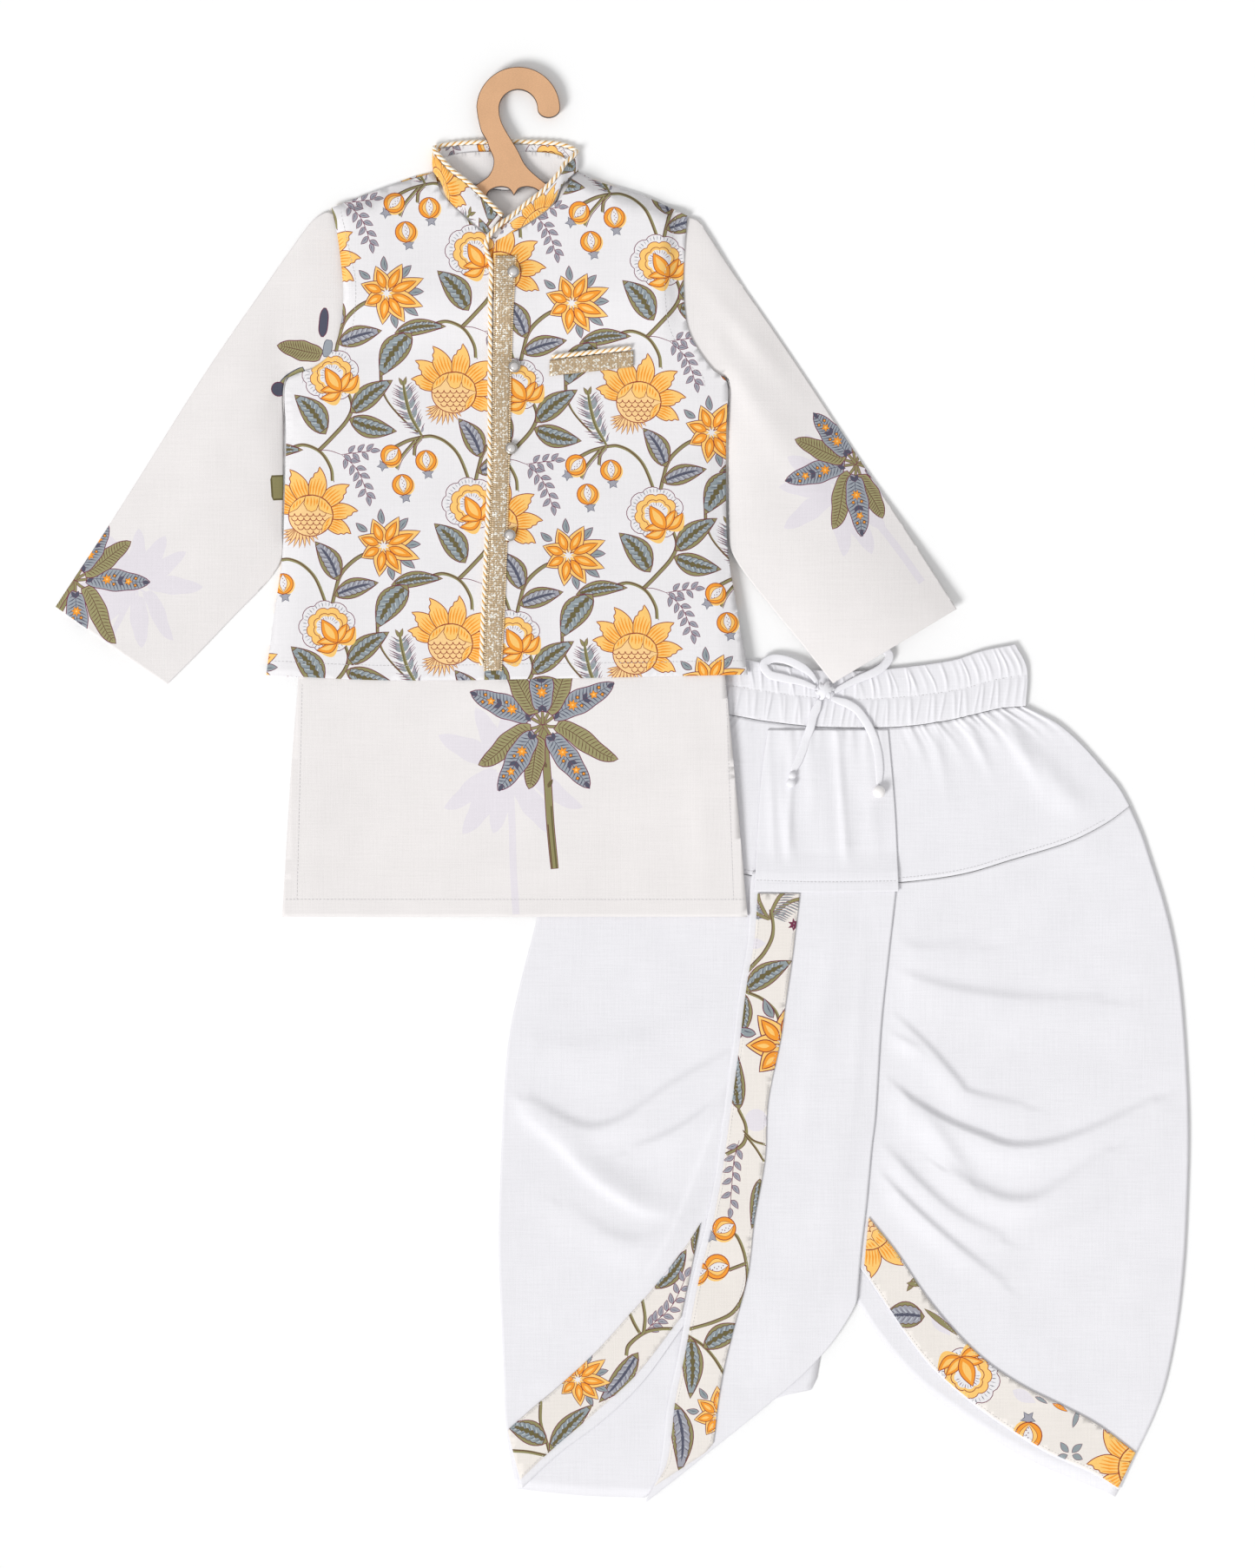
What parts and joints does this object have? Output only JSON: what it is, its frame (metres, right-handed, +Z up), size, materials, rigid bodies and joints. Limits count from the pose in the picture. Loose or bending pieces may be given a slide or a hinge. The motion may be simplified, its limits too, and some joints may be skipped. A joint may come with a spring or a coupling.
{
  "type": "child's kurta, sleeveless jacket and dhoti set on a small hanger",
  "caption": "Flat-laid festive set: long-sleeved kurta under a stand-collar sleeveless jacket, cowl-draped dhoti with gathered waist and tie, small hanger in the neck.",
  "frame": {"origin": "centre of the bounding box, on the surface that the set lies on", "axes": "+Z up out of the surface, +Y from the hems towards the hanger's hook, +X towards the wearer's left sleeve, the viewer's right"},
  "size_m": [0.8474, 1.0738, 0.0179],
  "materials": {
    "kurta_cloth": "off-white slub cotton",
    "jacket_print": "off-white cotton, printed all over with flowers",
    "dhoti_cloth": "white slub cotton",
    "border_print": "printed cotton band",
    "tie_cloth": "white cotton tie",
    "gold_rope": "twisted gold and white cord",
    "gold_lace": "glittering braid",
    "button_metal": "domed, satin",
    "hanger_board": "cut fibreboard with burnt edges",
    "bead_wood": "pale bead"
  },
  "bodies": {
    "root": {"kurta_back": "kurta_cloth", "kurta_front": "kurta_cloth", "kurta_sleeve_left": "kurta_cloth", "kurta_sleeve_right": "kurta_cloth", "kurta_collar": "kurta_cloth", "jacket_back": "jacket_print", "jacket_front_left": "jacket_print", "jacket_front_right": "jacket_print", "jacket_collar": "jacket_print", "jacket_pocket_welt": "gold_lace", "jacket_rope_trim": "gold_rope", "jacket_pocket_rope": "gold_rope", "jacket_placket_lace": "gold_lace", "button_1": "button_metal", "button_2": "button_metal", "button_3": "button_metal", "button_4": "button_metal", "hanger": "hanger_board", "dhoti_back_left": "dhoti_cloth", "dhoti_back_right": "dhoti_cloth", "dhoti_front_left": "dhoti_cloth", "dhoti_front_right": "dhoti_cloth", "dhoti_centre_panel": "dhoti_cloth", "dhoti_yoke_back": "dhoti_cloth", "dhoti_yoke_front": "dhoti_cloth", "dhoti_yoke_flap": "dhoti_cloth", "dhoti_waistband_back": "dhoti_cloth", "dhoti_waistband_front": "dhoti_cloth", "dhoti_border_left": "border_print", "dhoti_border_right": "border_print", "dhoti_border_centre": "border_print", "drawstring_knot": "tie_cloth", "drawstring_loop_left": "tie_cloth", "drawstring_loop_right": "tie_cloth", "drawstring_tail_left": "tie_cloth", "drawstring_tail_right": "tie_cloth", "drawstring_bead_left": "tie_cloth", "drawstring_bead_right": "bead_wood"}
  },
  "joints": []
}
